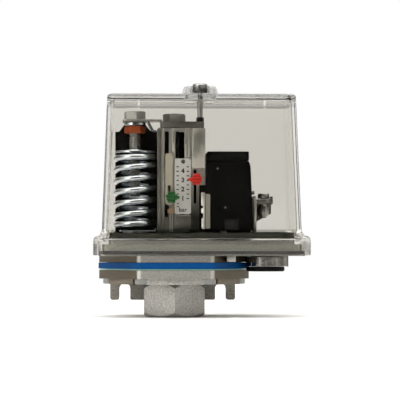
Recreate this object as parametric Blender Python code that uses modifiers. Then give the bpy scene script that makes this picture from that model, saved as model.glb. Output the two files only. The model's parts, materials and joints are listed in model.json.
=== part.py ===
"""Pressure switch with a clear hood: a diaphragm under a rocker lever, balanced by a range spring.

Lengths are in millimetres and the helpers scale them to metres. +Z is up and -Y is the front.
The origin is under the middle of the hood, level with the mouth of the pressure port.
"""

import math

import bmesh
import bpy
from mathutils import Vector

MM = 0.001
GAP = 0.3  # clearance between neighbouring pieces
THIN_GAP = 0.15  # clearance in the clamped stack of flange, diaphragm and ring

# Axes shared by several pieces
PORT_X = -13.2  # pressure port, plunger and differential spring
RANGE_X = -33.2  # main spring and its adjusting screw
GLAND_X = 32.8
GLAND_Y = -8.0
PIVOT_X = 1.5
PIVOT_Z = 39.1

# Pressure port and clamped stack
PORT_FLATS = 30.5
FLANGE_CORNER = 38.6  # from the port axis to a side corner, before rounding
FLANGE_SHOULDER = 18.6  # from the port axis to a front corner
FLANGE_HALF_DEPTH = 32.6
FLANGE_ROUND = 3.0
STEP_Z = 16.4
FLANGE_Z = 19.2
FLANGE_TOP = 23.55
DIAPHRAGM_T = 0.45
RING_T = 3.05
RING_PROUD = 0.3
CHAMBER_R = 22.0
BOLT_SPOTS = [(32.0, 0.0), (16.1, 25.6), (-16.1, 25.6)]
BOLT_SPOTS += [(-x, -y) for x, y in BOLT_SPOTS]
BOLT_HOLE_R = 2.3
BOLT_R = 2.0
BOLT_FLATS = 7.0

# Wall lugs
LUG_HALF = 32.7
LUG_SPACING = 50.0
LUG_SLOT = 5.6
LUG_BOTTOM = 7.6
LUG_ARCH = 16.3
LUG_FRONT = 28.4
LUG_BACK = 33.0

# Base casting
BASE_BOTTOM = 27.5
LEDGE_Z = 30.7
PLATFORM_TOP = 36.5
FLOOR_TOP = 34.0
RIM_TOP = 42.0

# Hood
SKIRT_HALF_X = 54.0
SKIRT_HALF_Y = 33.0
HOOD_WALL = 2.4
HOOD_TOP = 111.2
BOSS_TOP = 116.1
SCREW_TOP = 118.5

# Frame
FRAME_LEFT = -21.9
FRAME_RIGHT = 2.3
FRAME_FRONT = -10.6
FRAME_BACK = 12.0
FRAME_TOP = 95.2
SHEET_T = 1.6
FOOT_X = -24.6
FOOT_Y = (-11.9, 11.9)
WINDOWS = [(-18.2, -16.1, 50.0, 93.4), (-12.8, -8.3, 50.0, 93.4), (-3.6, -2.2, 57.0, 74.2)]

# Adjusting screws
HEAD_FLATS = 10.0
RANGE_TURN = 0.157  # how far each head is turned, in radians
FINE_TURN = 0.61
NUT_FLATS = 9.2

# Contact block and earth terminal
TERMINAL_Y = (-8.0, 0.0, 8.0)
TERMINAL_Z = 66.0
EARTH_X = 32.4

# Springs
MAIN_SPRING = {"mean": 9.3, "wire": 1.65, "low": 46.4, "high": 80.95, "turns": 6.6}
FINE_SPRING = {"mean": 4.7, "wire": 0.8, "low": 47.2, "high": 73.0, "turns": 6.75}

MATERIALS = {
    "cast": ((0.30, 0.29, 0.27), 0.55, 0.8),
    "zinc": ((0.55, 0.56, 0.57), 0.30, 1.0),
    "chrome": ((0.72, 0.73, 0.74), 0.15, 1.0),
    "steel": ((0.33, 0.33, 0.31), 0.38, 0.9),
    "dark_steel": ((0.13, 0.13, 0.12), 0.45, 0.8),
    "copper": ((0.62, 0.14, 0.05), 0.40, 0.3),
    "blue": ((0.005, 0.10, 0.38), 0.45, 0.0),
    "teal": ((0.12, 0.40, 0.33), 0.60, 0.0),
    "black": ((0.012, 0.012, 0.012), 0.50, 0.0),
    "rubber": ((0.02, 0.02, 0.02), 0.80, 0.0),
    "white": ((0.62, 0.63, 0.62), 0.45, 0.0),
    "beige": ((0.45, 0.40, 0.33), 0.50, 0.0),
    "red": ((0.62, 0.02, 0.01), 0.40, 0.0),
    "green": ((0.01, 0.12, 0.02), 0.45, 0.0),
    "clear": ((0.80, 0.82, 0.80), 0.05, 0.0),
}


# ---------- scene and collections ----------


def clear_scene():
    for obj in list(bpy.data.objects):
        bpy.data.objects.remove(obj, do_unlink=True)


def new_collection(name):
    collection = bpy.data.collections.new(name)
    bpy.context.scene.collection.children.link(collection)
    return collection


clear_scene()
PARTS = new_collection("pressure_switch")
CUTTERS = new_collection("cutters")


def material(name):
    found = bpy.data.materials.get(name)
    if found:
        return found
    colour, roughness, metallic = MATERIALS[name]
    made = bpy.data.materials.new(name)
    made.use_nodes = True
    shader = made.node_tree.nodes["Principled BSDF"]
    shader.inputs["Base Color"].default_value = (*colour, 1.0)
    shader.inputs["Roughness"].default_value = roughness
    shader.inputs["Metallic"].default_value = metallic
    if name == "clear":
        shader.inputs["Transmission Weight"].default_value = 0.95
    made.diffuse_color = (*colour, 0.3 if name == "clear" else 1.0)
    return made


# ---------- outlines ----------


def circle(x, y, radius, count=20):
    """Points on a circle."""
    steps = [math.tau * (i + 0.5) / count for i in range(count)]
    return [(x + radius * math.cos(a), y + radius * math.sin(a)) for a in steps]


def hexagon(x, y, flats, turn=0.0):
    """A hexagon by its width across flats. With no turn, two of its corners point along Y."""
    radius = flats / math.sqrt(3)
    steps = [turn + math.tau * (i + 0.5) / 6 for i in range(6)]
    return [(x + radius * math.cos(a), y + radius * math.sin(a)) for a in steps]


def rounded(corners, steps=4):
    """An outline from corners (x, y, radius), each turned into an arc of its radius."""
    outline = []
    for i, (x, y, radius) in enumerate(corners):
        corner = Vector((x, y))
        if not radius:
            outline.append(corner)
            continue
        back = (Vector(corners[i - 1][:2]) - corner).normalized()
        ahead = (Vector(corners[(i + 1) % len(corners)][:2]) - corner).normalized()
        half = back.angle(ahead) / 2
        centre = corner + (back + ahead).normalized() * radius / math.sin(half)
        start = corner + back * radius / math.tan(half) - centre
        end = corner + ahead * radius / math.tan(half) - centre
        first = math.atan2(start.y, start.x)
        sweep = (math.atan2(end.y, end.x) - first + math.pi) % math.tau - math.pi
        for step in range(steps + 1):
            angle = first + sweep * step / steps
            outline.append(centre + Vector((math.cos(angle), math.sin(angle))) * radius)
    apart = [p for i, p in enumerate(outline) if (p - outline[i - 1]).length > 1e-3]
    return [tuple(p) for p in apart]


def rectangle(x0, x1, y0, y1, radius=0.0, steps=4):
    corners = [(x0, y0, radius), (x1, y0, radius), (x1, y1, radius), (x0, y1, radius)]
    return rounded(corners, steps)


def flange_outline(inset=0.0):
    """The stretched hexagon of the clamped stack, around the port axis."""
    side = FLANGE_CORNER - 1.1 * inset
    shoulder = FLANGE_SHOULDER - 0.6 * inset
    deep = FLANGE_HALF_DEPTH - inset
    points = [(side, 0), (shoulder, deep), (-shoulder, deep)]
    points += [(-side, 0), (-shoulder, -deep), (shoulder, -deep)]
    return rounded([(PORT_X + x, y, FLANGE_ROUND) for x, y in points])


def bolt_holes(radius, count=12):
    return [circle(PORT_X + x, y, radius, count) for x, y in BOLT_SPOTS]


# ---------- solids ----------


def add(name, mesh, finish, smooth=False):
    """Puts a mesh in the scene under its name, with its material."""
    obj = bpy.data.objects.new(name, mesh)
    PARTS.objects.link(obj)
    mesh.materials.clear()
    mesh.materials.append(material(finish))
    if smooth:
        mesh.shade_smooth()
        mesh.set_sharp_from_angle(angle=math.radians(35))
    return obj


def facing_out(mesh):
    """Welds a mesh's seams and turns its faces outwards."""
    bm = bmesh.new()
    bm.from_mesh(mesh)
    bmesh.ops.remove_doubles(bm, verts=bm.verts, dist=1e-6)
    bmesh.ops.recalc_face_normals(bm, faces=bm.faces)
    bm.to_mesh(mesh)
    bm.free()
    return mesh


def evaluated_mesh(obj):
    """The object's shape as a mesh of its own, in place of the object."""
    bpy.context.view_layer.update()
    graph = bpy.context.evaluated_depsgraph_get()
    mesh = bpy.data.meshes.new_from_object(obj.evaluated_get(graph))
    bpy.data.objects.remove(obj, do_unlink=True)
    return facing_out(mesh)


def plate(name, outlines, low, high, finish, facing="Z", smooth=False):
    """A flat outline, with holes, made thick between two levels along the axis that it faces."""
    curve = bpy.data.curves.new(name, "CURVE")
    curve.dimensions = "2D"
    curve.fill_mode = "BOTH"
    curve.extrude = (high - low) / 2 * MM
    for outline in outlines:
        spline = curve.splines.new("POLY")
        spline.points.add(len(outline) - 1)
        for point, (u, v) in zip(spline.points, outline):
            point.co = (u * MM, v * MM, 0, 1)
        spline.use_cyclic_u = True
    guide = bpy.data.objects.new(name + "_outline", curve)
    PARTS.objects.link(guide)
    mesh = evaluated_mesh(guide)
    middle = (low + high) / 2 * MM
    for vertex in mesh.vertices:
        u, v, w = vertex.co
        w += middle
        vertex.co = {"Z": (u, v, w), "Y": (u, w, v), "X": (w, u, v)}[facing]
    return add(name, facing_out(mesh), finish, smooth)


def box(name, low, high, finish):
    """A box between two opposite corners."""
    outline = rectangle(low[0], high[0], low[1], high[1])
    return plate(name, [outline], low[2], high[2], finish)


def turned(name, profile, x, y, finish, steps=20):
    """A solid of revolution. The profile holds (radius, height) and runs down its outer side."""
    bm = bmesh.new()
    points = [bm.verts.new((radius * MM, 0, z * MM)) for radius, z in profile]
    for upper, lower in zip(points, points[1:]):
        bm.edges.new((upper, lower))
    if profile[0][0] > 0:
        bm.edges.new((points[-1], points[0]))
    mesh = bpy.data.meshes.new(name)
    bm.to_mesh(mesh)
    bm.free()
    guide = bpy.data.objects.new(name + "_profile", mesh)
    PARTS.objects.link(guide)
    screw = guide.modifiers.new("turn", "SCREW")
    screw.steps = steps
    screw.render_steps = steps
    screw.use_merge_vertices = True
    screw.merge_threshold = 0.00001
    solid = evaluated_mesh(guide)
    for vertex in solid.vertices:
        vertex.co.x += x * MM
        vertex.co.y += y * MM
    return add(name, solid, finish, smooth=True)


def coil(name, x, y, mean, wire, low, high, turns, finish, per_turn=16):
    """A right-handed compression spring whose pitch eases to nothing over its end turns."""
    ease = 0.75
    pitch = (high - low) / (turns - ease)
    curve = bpy.data.curves.new(name, "CURVE")
    curve.dimensions = "3D"
    curve.bevel_depth = wire * MM
    curve.bevel_resolution = 2
    curve.use_fill_caps = True
    spline = curve.splines.new("POLY")
    count = round(turns * per_turn)
    spline.points.add(count)
    for i, point in enumerate(spline.points):
        turn = turns * i / count
        left = turns - turn
        if turn < ease:
            z = low + pitch * turn * turn / (2 * ease)
        elif left < ease:
            z = high - pitch * left * left / (2 * ease)
        else:
            z = low + pitch * (turn - ease / 2)
        angle = -math.tau * left
        point.co = ((x + mean * math.cos(angle)) * MM, (y + mean * math.sin(angle)) * MM, z * MM, 1)
    guide = bpy.data.objects.new(name + "_wire", curve)
    PARTS.objects.link(guide)
    return add(name, evaluated_mesh(guide), finish, smooth=True)


def loft(name, sections, finish, steps=4):
    """A solid through rounded rectangles (height, half width, half depth, corner radius)."""
    bm = bmesh.new()
    rings = []
    for z, half_x, half_y, radius in sections:
        outline = rectangle(-half_x, half_x, -half_y, half_y, radius, steps)
        rings.append([bm.verts.new((px * MM, py * MM, z * MM)) for px, py in outline])
    for lower, upper in zip(rings, rings[1:]):
        for i in range(len(lower)):
            bm.faces.new((lower[i - 1], lower[i], upper[i], upper[i - 1]))
    bm.faces.new(rings[0])
    bm.faces.new(rings[-1])
    mesh = bpy.data.meshes.new(name)
    bm.to_mesh(mesh)
    bm.free()
    return add(name, facing_out(mesh), finish, smooth=True)


def combine(obj, other, operation):
    """Leaves a Boolean on the object and keeps the other solid as a hidden helper."""
    PARTS.objects.unlink(other)
    CUTTERS.objects.link(other)
    other.hide_render = True
    other.display_type = "WIRE"
    modifier = obj.modifiers.new(other.name, "BOOLEAN")
    modifier.operation = operation
    modifier.solver = "EXACT"
    modifier.object = other
    return obj


def join(obj, *others):
    for other in others:
        combine(obj, other, "UNION")
    return obj


def cut(obj, *others):
    for other in others:
        combine(obj, other, "DIFFERENCE")
    return obj


def set_origin(obj, x, y, z):
    """Moves the object's origin to a point of its joint's axis and leaves the shape in place."""
    point = Vector((x, y, z)) * MM
    for vertex in obj.data.vertices:
        vertex.co -= point
    obj.location = point
    return obj


def hex_head(name, x, y, flats, low, high, finish, turn=0.0, shanks=()):
    """A hexagon head with its chamfered crown, and shanks (radius, low, high) below it."""
    head = plate(name, [hexagon(x, y, flats, turn)], low, high, finish)
    corner = flats / math.sqrt(3)
    crown = [(0, high + 1), (flats / 2, high + 1), (flats / 2, high)]
    crown += [(corner + 0.1, high - 0.32 * (corner - flats / 2) - 0.2), (corner + 0.1, low - 1), (0, low - 1)]
    combine(head, turned(name + "_crown", crown, x, y, finish), "INTERSECT")
    for i, (radius, shank_low, shank_high) in enumerate(shanks):
        profile = [(0, shank_high), (radius, shank_high), (radius, shank_low + 0.4)]
        profile += [(radius - 0.4, shank_low), (0, shank_low)]
        join(head, turned(f"{name}_shank_{i}", profile, x, y, finish, 16))
    return head


# ---------- pressure port, diaphragm and ring ----------


def pressure_port():
    port = plate("pressure_port", [flange_outline()], FLANGE_Z, FLANGE_TOP, "cast")
    join(port, plate("port_step", [flange_outline(2.2)], STEP_Z, FLANGE_Z + 1, "cast"))
    web = rectangle(PORT_X - LUG_HALF + 0.4, PORT_X + LUG_HALF - 0.4, 9, LUG_BACK - 0.4)
    join(port, plate("lug_web", [web], STEP_Z, FLANGE_Z + 1.3, "cast"))
    join(port, wall_lugs(), port_hexagon())
    hollow = [(0, FLANGE_TOP + 1), (CHAMBER_R, FLANGE_TOP + 1), (CHAMBER_R, FLANGE_TOP - 1.6)]
    hollow += [(2.5, FLANGE_TOP - 1.6), (2.5, 15.0), (9.4, 15.0), (9.4, 1.2), (10.9, -0.3)]
    hollow += [(10.9, -1.0), (0, -1.0)]
    cut(port, turned("port_hollow", hollow, PORT_X, 0, "cast", 32))
    for i, (x, y) in enumerate(BOLT_SPOTS):
        pocket = [(0, FLANGE_Z + 0.1), (5.2, FLANGE_Z + 0.1), (5.2, STEP_Z - 1), (0, STEP_Z - 1)]
        cut(port, turned(f"bolt_pocket_{i}", pocket, PORT_X + x, y, "cast", 16))
        hole = [(0, FLANGE_TOP + 1), (BOLT_HOLE_R, FLANGE_TOP + 1), (BOLT_HOLE_R, STEP_Z), (0, STEP_Z)]
        cut(port, turned(f"bolt_hole_{i}", hole, PORT_X + x, y, "cast", 16))
    return port


def port_hexagon():
    """The spanner hexagon, chamfered at its mouth and arched where it meets the neck."""
    prism = plate("port_hexagon", [hexagon(PORT_X, 0, PORT_FLATS)], 0, 17.4, "cast")
    corner = PORT_FLATS / math.sqrt(3)
    flat = PORT_FLATS / 2
    limit = [(0, 18), (flat - 0.1, 18), (flat - 0.1, 17.2), (corner + 0.1, 14.2)]
    limit += [(corner + 0.1, 1.4), (corner - 1.3, -0.1), (0, -0.1)]
    return combine(prism, turned("port_limit", limit, PORT_X, 0, "cast", 32), "INTERSECT")


def wall_lugs():
    """A plate behind the port with two slots that are open at the bottom."""
    inner = LUG_SPACING / 2 - LUG_SLOT / 2
    outer = LUG_SPACING / 2 + LUG_SLOT / 2
    half = LUG_SLOT / 2
    right = [(inner, LUG_BOTTOM, 0.8), (inner, LUG_ARCH, half), (outer, LUG_ARCH, half)]
    right += [(outer, LUG_BOTTOM, 1.2), (LUG_HALF, LUG_BOTTOM, 1.2), (LUG_HALF, FLANGE_Z + 1.6, 0)]
    left = [(-x, z, radius) for x, z, radius in reversed(right)]
    outline = rounded([(PORT_X + x, z, radius) for x, z, radius in right + left])
    return plate("lug_plate", [outline], LUG_FRONT, LUG_BACK, "cast", "Y")


def diaphragm():
    low = FLANGE_TOP + THIN_GAP
    outlines = [flange_outline(0.15), *bolt_holes(BOLT_HOLE_R)]
    return plate("diaphragm", outlines, low, low + DIAPHRAGM_T, "teal")


def spacer_ring():
    low = FLANGE_TOP + 2 * THIN_GAP + DIAPHRAGM_T
    outlines = [flange_outline(-RING_PROUD), circle(PORT_X, 0, CHAMBER_R, 32), *bolt_holes(BOLT_HOLE_R)]
    return plate("spacer_ring", outlines, low, low + RING_T, "blue")


def flange_bolts():
    for i, (x, y) in enumerate(BOLT_SPOTS):
        name = f"flange_bolt_{i + 1}"
        head_top = FLANGE_Z - THIN_GAP
        shank = [(BOLT_R, 18.0, 33.0)]
        hex_bolt_down(name, PORT_X + x, y, head_top, shank)


def hex_bolt_down(name, x, y, head_top, shanks):
    """A bolt put in from below: its crown points down and its shank up."""
    low = head_top - 2.5
    bolt = plate(name, [hexagon(x, y, BOLT_FLATS, math.pi / 6)], low, head_top, "zinc")
    corner = BOLT_FLATS / math.sqrt(3)
    crown = [(0, head_top + 1), (corner + 0.1, head_top + 1), (corner + 0.1, low + 0.4)]
    crown += [(BOLT_FLATS / 2, low), (BOLT_FLATS / 2, low - 1), (0, low - 1)]
    combine(bolt, turned(name + "_crown", crown, x, y, "zinc", 16), "INTERSECT")
    for radius, shank_low, shank_high in shanks:
        profile = [(0, shank_high), (radius - 0.4, shank_high), (radius, shank_high - 0.4)]
        profile += [(radius, shank_low), (0, shank_low)]
        join(bolt, turned(name + "_shank", profile, x, y, "zinc", 12))
    return bolt


# ---------- base casting and gasket ----------


def base_casting():
    base = plate("base_casting", [flange_outline()], BASE_BOTTOM, LEDGE_Z + 0.1, "cast")
    ledge = rectangle(-51.2, 51.2, -30.2, 30.2, 3.5)
    join(base, plate("base_ledge", [ledge], LEDGE_Z, 31.4, "cast"))
    platform = rectangle(-49.6, 49.6, -28.6, 28.6, 3.0)
    join(base, plate("base_platform", [platform], 31.0, PLATFORM_TOP, "cast"))
    rim = rectangle(-46.2, 46.2, -25.2, 25.2, 2.6)
    join(base, plate("base_rim", [rim], PLATFORM_TOP - 0.5, RIM_TOP, "cast"))
    boss = rectangle(26.0, 45.7, 4.0, 24.0, 3.0)
    join(base, plate("rear_boss", [boss], 25.2, LEDGE_Z + 0.6, "cast"))
    pocket = rectangle(-44.0, 44.0, -23.0, 23.0, 1.5)
    cut(base, plate("base_pocket", [pocket], FLOOR_TOP, RIM_TOP + 1, "cast"))
    for side in (-1, 1):
        ear = rectangle(PIVOT_X - 3.2, PIVOT_X + 3.2, FLOOR_TOP - 0.5, RIM_TOP, 1.2)
        low, high = sorted((side * 9.4, side * 12.0))
        join(base, plate(f"pivot_ear_{side}", [ear], low, high, "cast", "Y"))
    pivot = circle(PIVOT_X, PIVOT_Z, 1.6, 16)
    cut(base, plate("pivot_hole", [pivot], -14, 14, "cast", "Y"))
    guide = [(0, FLOOR_TOP + 1), (4.3, FLOOR_TOP + 1), (4.3, BASE_BOTTOM - 1), (0, BASE_BOTTOM - 1)]
    cut(base, turned("plunger_guide", guide, PORT_X, 0, "cast", 24))
    gland = [(0, FLOOR_TOP + 1), (8.3, FLOOR_TOP + 1), (8.3, LEDGE_Z - 1), (0, LEDGE_Z - 1)]
    cut(base, turned("gland_hole", gland, GLAND_X, GLAND_Y, "cast", 24))
    for i, (x, y) in enumerate(BOLT_SPOTS):
        hole = [(0, 33.4), (BOLT_HOLE_R, 33.4), (BOLT_HOLE_R, BASE_BOTTOM - 1), (0, BASE_BOTTOM - 1)]
        cut(base, turned(f"base_bolt_hole_{i}", hole, PORT_X + x, y, "cast", 16))
    for i, y in enumerate(FOOT_Y):
        hole = [(0, FLOOR_TOP + 1), (1.5, FLOOR_TOP + 1), (1.5, 31.6), (0, 31.6)]
        cut(base, turned(f"foot_hole_{i}", hole, FOOT_X, y, "cast", 12))
    return base


def cover_gasket():
    outer = rectangle(-51.2, 51.2, -30.2, 30.2, 3.5)
    inner = rectangle(-49.9, 49.9, -28.9, 28.9, 3.0)
    return plate("cover_gasket", [outer, inner], 31.7, 33.1, "rubber")


# ---------- hood and its screw ----------


def cover():
    """The clear hood: a skirt, drafted walls, a roof and a boss for the screw."""
    draft = 2.6 / (HOOD_TOP - 43.9)
    top_x = SKIRT_HALF_X - 4.3 - draft * (HOOD_TOP - 1.6 - 43.9)
    top_y = SKIRT_HALF_Y - 4.3 - draft * (HOOD_TOP - 1.6 - 43.9)
    outer = [(31.0, SKIRT_HALF_X, SKIRT_HALF_Y, 5.5), (38.4, SKIRT_HALF_X, SKIRT_HALF_Y, 5.5)]
    outer += [(40.0, SKIRT_HALF_X - 0.5, SKIRT_HALF_Y - 0.5, 5.2)]
    outer += [(40.7, SKIRT_HALF_X - 1.6, SKIRT_HALF_Y - 1.6, 4.6)]
    outer += [(41.5, SKIRT_HALF_X - 3.3, SKIRT_HALF_Y - 3.3, 4.0)]
    outer += [(43.9, SKIRT_HALF_X - 4.3, SKIRT_HALF_Y - 4.3, 4.0)]
    outer += [(HOOD_TOP - 1.6, top_x, top_y, 4.0), (HOOD_TOP - 0.5, top_x - 0.5, top_y - 0.5, 3.6)]
    outer += [(HOOD_TOP, top_x - 1.6, top_y - 1.6, 2.6)]
    hood = loft("cover", outer, "clear")
    roof_x = top_x - HOOD_WALL
    roof_y = top_y - HOOD_WALL
    skirt_x = SKIRT_HALF_X - HOOD_WALL
    skirt_y = SKIRT_HALF_Y - HOOD_WALL
    inner = [(30.0, skirt_x, skirt_y, 3.2), (37.0, skirt_x, skirt_y, 3.2)]
    inner += [(38.3, skirt_x - 1.6, skirt_y - 1.6, 2.6), (39.2, skirt_x - 4.0, skirt_y - 4.0, 2.0)]
    inner += [(43.9, skirt_x - 4.3, skirt_y - 4.3, 2.0), (HOOD_TOP - 4.6, roof_x, roof_y, 2.0)]
    inner += [(HOOD_TOP - HOOD_WALL, roof_x - 1.6, roof_y - 1.6, 1.0)]
    boss = [(0, BOSS_TOP), (8.3, BOSS_TOP), (8.8, BOSS_TOP - 0.5), (9.7, HOOD_TOP - 0.6)]
    boss += [(9.7, HOOD_TOP - 1.2), (0, HOOD_TOP - 1.2)]
    join(hood, turned("cover_boss", boss, 0, 0, "clear", 32))
    cut(hood, loft("cover_inside", inner, "clear"))
    hole = [(0, BOSS_TOP + 1), (4.3, BOSS_TOP + 1), (4.3, 113.1), (1.7, 113.1), (1.7, 100), (0, 100)]
    return cut(hood, turned("cover_hole", hole, 0, 0, "clear", 24))


def cover_screw():
    head = [(0, SCREW_TOP), (3.3, SCREW_TOP), (3.85, SCREW_TOP - 0.5), (3.85, 113.45), (1.2, 113.45)]
    head += [(1.2, 96.6), (0.8, 96.1), (0, 96.1)]
    screw = turned("cover_screw", head, 0, 0, "zinc", 24)
    cut(screw, box("screw_slot", (-4.5, -0.5, SCREW_TOP - 1.6), (4.5, 0.5, SCREW_TOP + 1), "zinc"))
    set_origin(screw, 0, 0, SCREW_TOP)
    ring = [(1.45, 101.2), (1.9, 101.0), (1.9, 99.3), (1.45, 99.1)]
    return set_origin(turned("screw_retainer", ring, 0, 0, "dark_steel", 16), 0, 0, 100)


# ---------- frame ----------

def spring_frame():
    """A folded steel channel: a slotted front, two cheeks, and two feet beside the lever."""
    front = [rectangle(FRAME_LEFT, FRAME_RIGHT, 42.4, FRAME_TOP, 0.5, 2)]
    front += [rectangle(*window, 0.5, 2) for window in WINDOWS]
    frame = plate("spring_frame", front, FRAME_FRONT, FRAME_FRONT + SHEET_T, "steel", "Y")
    left = [(FRAME_FRONT + 0.2, 34.6), (-9.2, 34.6), (-9.2, 42.6), (9.2, 42.6), (9.2, 34.6)]
    left += [(FRAME_BACK, 34.6), (FRAME_BACK, FRAME_TOP - 0.1), (FRAME_FRONT + 0.2, FRAME_TOP - 0.1)]
    join(frame, plate("left_cheek", [left], FRAME_LEFT + 0.1, FRAME_LEFT + 2.4, "steel", "X"))
    right = rectangle(FRAME_FRONT + 0.2, FRAME_BACK, 42.5, FRAME_TOP - 0.1)
    join(frame, plate("right_cheek", [right], FRAME_RIGHT - 2.0, FRAME_RIGHT - 0.1, "steel", "X"))
    for i, y in enumerate(FOOT_Y):
        join(frame, box(f"foot_{i}", (-27.4, y - 2.3, 34.3), (FRAME_LEFT + 0.5, y + 2.3, 36.1), "steel"))
        hole = [(0, 40), (1.5, 40), (1.5, 30), (0, 30)]
        cut(frame, turned(f"frame_foot_hole_{i}", hole, FOOT_X, y, "steel", 12))
    return frame


def frame_screws():
    for i, y in enumerate(FOOT_Y):
        profile = [(0, 38.4), (1.6, 38.4), (2.1, 37.9), (2.1, 36.4), (1.2, 36.4), (1.2, 32.2), (0, 32.2)]
        screw = turned(f"frame_screw_{i + 1}", profile, FOOT_X, y, "zinc", 16)
        slot = box(f"frame_screw_slot_{i}", (FOOT_X - 3, y - 0.3, 37.6), (FOOT_X + 3, y + 0.3, 39), "zinc")
        cut(screw, slot)


def frame_top_plate():
    outline = rectangle(-20.2, 1.7, -11.0, 11.0, 1.0, 2)
    holes = [circle(PORT_X, 0, 3.3), circle(0, 0, 1.55, 16)]
    return plate("frame_top_plate", [outline, *holes], 95.5, 98.5, "dark_steel")


def top_strap():
    """The arm that carries the range screw, turned down to the frame at its right end."""
    outline = rectangle(-39.4, -19.4, -7.5, 7.5, 1.5)
    return plate("top_strap", [outline, circle(RANGE_X, 0, 3.3)], 98.8, 99.7, "steel")


def back_shield():
    """A black plate behind the springs with a raised top behind the range screw."""
    outline = [(-43.2, 39.0), (2.3, 39.0), (2.3, 94.6), (-24.6, 94.6), (-27.6, 98.1), (-38.7, 98.1)]
    outline += [(-41.2, 94.6), (-43.2, 94.6)]
    return plate("back_shield", [outline], 12.4, 13.6, "black", "Y")


# ---------- scale and pointers ----------


def scale_plate():
    outline = rectangle(-13.2, -5.0, 51.8, 79.7, 1.0)
    scale = plate("scale_plate", [outline, circle(-9.0, 78.2, 0.6, 12)], -11.8, -10.9, "white", "Y")
    rivet = [circle(-9.0, 78.2, 1.1, 12)]
    plate("scale_rivet", rivet, -12.7, -12.1, "dark_steel", "Y")
    return scale


def slider_rail():
    outline = rectangle(-18.0, -14.2, 56.4, 82.4, 1.2)
    plate("slider_rail", [outline, rectangle(-16.7, -15.3, 57.6, 66.2, 0.3, 2)], -11.8, -10.9, "beige", "Y")
    wedge = [(-16.8, 52.0), (-13.7, 52.0), (-13.7, 56.0), (-16.8, 54.0)]
    plate("rail_stop", [wedge], -12.6, -10.9, "copper", "Y")


def pointer(name, tip, knob_x, z, direction, finish, peg):
    """A ribbed knob with a pointed tip. Direction is -1 where the tip is on the left."""
    half = 3.0
    end = knob_x - direction * half
    neck = knob_x + direction * half * 0.75
    lower = [(end, z - 2.4, 0.9), (neck, z - 3.1, 0.9), (neck, z - 0.9, 0.0)]
    upper = [(x, 2 * z - level, radius) for x, level, radius in reversed(lower)]
    outline = rounded([*lower, (tip, z, 0.0), *upper])
    body = plate(name, [outline], -17.0, -14.5, finish, "Y")
    stem = [circle(peg, z, 0.45, 10)]
    join(body, plate(name + "_peg", stem, -14.8, -9.6 if direction < 0 else -11.1, finish, "Y"))
    return set_origin(body, knob_x, -14, z)


# ---------- range spring group ----------


def main_spring_group():
    shank = [(2.9, 62.0, 100.2)]
    head = ("main_adjusting_screw", RANGE_X, 0, HEAD_FLATS, 100.0, 104.0)
    screw = hex_head(*head, "zinc", RANGE_TURN, shank)
    collar = [(3.2, 98.5), (5.3, 98.5), (5.5, 98.2), (5.5, 97.2), (5.3, 96.9), (3.2, 96.9)]
    ring = turned("main_collar", collar, RANGE_X, 0, "chrome")
    sides = [hexagon(RANGE_X, 0, NUT_FLATS, math.pi / 6), circle(RANGE_X, 0, 3.2)]
    nut = plate("main_lock_nut", sides, 92.8, 96.6, "copper")
    for obj in (screw, ring, nut):
        set_origin(obj, RANGE_X, 0, 96)
    disc = [(3.2, 84.6), (4.6, 84.6), (4.6, 83.9), (10.4, 83.9), (10.4, 82.9), (3.2, 82.9)]
    set_origin(turned("main_spring_plate", disc, RANGE_X, 0, "chrome"), RANGE_X, 0, 83)
    coil("main_spring", RANGE_X, 0, finish="chrome", **MAIN_SPRING)


def main_spring_tray():
    outline = rectangle(-41.0, -22.6, -10.6, 10.6, 1.0)
    tray = plate("main_spring_tray", [outline], 42.7, 43.5, "chrome")
    join(tray, box("tray_lip", (-23.2, -10.6, 43.3), (-22.6, -7.6, 44.5), "chrome"))
    stem = [(0, 43.0), (6.0, 43.0), (6.0, 40.9), (0, 40.9)]
    join(tray, turned("tray_stem", stem, RANGE_X, 0, "chrome"))
    return set_origin(tray, PIVOT_X, 0, PIVOT_Z)


# ---------- differential spring group ----------


def differential_group():
    shank = [(2.6, 62.0, 99.2)]
    head = ("differential_screw", PORT_X, 0, HEAD_FLATS, 98.8, 102.9)
    screw = hex_head(*head, "zinc", FINE_TURN, shank)
    set_origin(screw, PORT_X, 0, 98.5)
    disc = [(2.9, 75.2), (5.6, 75.2), (5.6, 74.1), (2.9, 74.1)]
    set_origin(turned("differential_plate", disc, PORT_X, 0, "steel", 20), PORT_X, 0, 75)
    coil("differential_spring", PORT_X, 0, finish="zinc", per_turn=12, **FINE_SPRING)


# ---------- lever and plunger ----------


def rocker_lever():
    """A flat beam over the plunger with a hub for the pivot and a seat for the small spring."""
    outline = rectangle(-42.0, 15.0, -8.6, 8.6, 2.0)
    lever = plate("rocker_lever", [outline], 38.0, 40.6, "dark_steel")
    seat = [(0, 45.9), (5.2, 45.9), (5.2, 40.0), (0, 40.0)]
    join(lever, turned("lever_seat", seat, PORT_X, 0, "dark_steel"))
    hub = [circle(PIVOT_X, PIVOT_Z, 2.9, 20)]
    join(lever, plate("lever_hub", hub, -8.6, 8.6, "dark_steel", "Y"))
    bore = [circle(PIVOT_X, PIVOT_Z, 1.6, 16)]
    cut(lever, plate("lever_bore", bore, -10, 10, "dark_steel", "Y"))
    pin = plate("lever_pivot_pin", [circle(PIVOT_X, PIVOT_Z, 1.3, 16)], -12.4, 12.3, "zinc", "Y", True)
    set_origin(pin, PIVOT_X, 0, PIVOT_Z)
    return set_origin(lever, PIVOT_X, 0, PIVOT_Z)


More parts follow.
